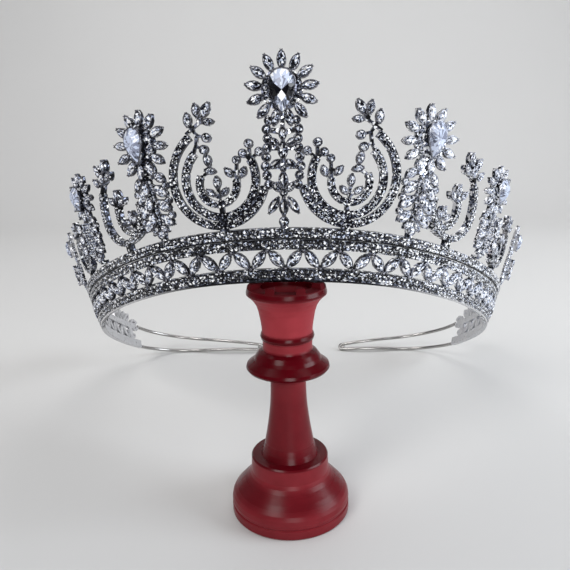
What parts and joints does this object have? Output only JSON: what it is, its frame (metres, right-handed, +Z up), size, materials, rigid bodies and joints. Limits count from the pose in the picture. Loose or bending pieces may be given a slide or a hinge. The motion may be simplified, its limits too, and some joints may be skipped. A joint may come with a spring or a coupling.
{
  "type": "crystal tiara on a chess-queen display stand",
  "caption": "Silver tiara with a crystal lattice band, scrolls and pear-stone flower columns and rear wire loops, resting on a turned red chess-queen stand.",
  "frame": {"origin": "centre of the stand's foot, on the floor", "axes": "+Z up, +Y from the tiara's front to its open back, +X to the viewer's right from the front"},
  "size_m": [0.1608, 0.1408, 0.1188],
  "materials": {
    "silver_metal": "polished",
    "wire_metal": "polished",
    "crystal": "polished",
    "pear_crystal": "polished",
    "stand_plastic": "satin"
  },
  "bodies": {
    "root": {"display_stand": "stand_plastic", "bandeau_front": "silver_metal", "bandeau_left": "silver_metal", "bandeau_right": "silver_metal", "lattice_stones_left": "crystal", "lattice_stones_right": "crystal", "gallery_front": "silver_metal", "gallery_left": "silver_metal", "gallery_right": "silver_metal", "hair_loop_left": "wire_metal", "hair_loop_right": "wire_metal", "column_centre": "silver_metal", "column_left_1": "silver_metal", "column_left_2": "silver_metal", "column_left_3": "silver_metal", "column_right_1": "silver_metal", "column_right_2": "silver_metal", "column_right_3": "silver_metal", "pear_centre": "pear_crystal", "pear_left_1": "pear_crystal", "pear_left_2": "pear_crystal", "pear_left_3": "pear_crystal", "pear_right_1": "pear_crystal", "pear_right_2": "pear_crystal", "pear_right_3": "pear_crystal", "petals_centre": "crystal", "petals_left_1": "crystal", "petals_left_2": "crystal", "petals_left_3": "crystal", "petals_right_1": "crystal", "petals_right_2": "crystal", "petals_right_3": "crystal", "leaf_stones_centre": "crystal", "leaf_stones_left_1": "crystal", "leaf_stones_left_2": "crystal", "leaf_stones_left_3": "crystal", "leaf_stones_right_1": "crystal", "leaf_stones_right_2": "crystal", "leaf_stones_right_3": "crystal", "scroll_left_1": "silver_metal", "scroll_left_2": "silver_metal", "scroll_left_3": "silver_metal", "scroll_right_1": "silver_metal", "scroll_right_2": "silver_metal", "scroll_right_3": "silver_metal"}
  },
  "joints": []
}
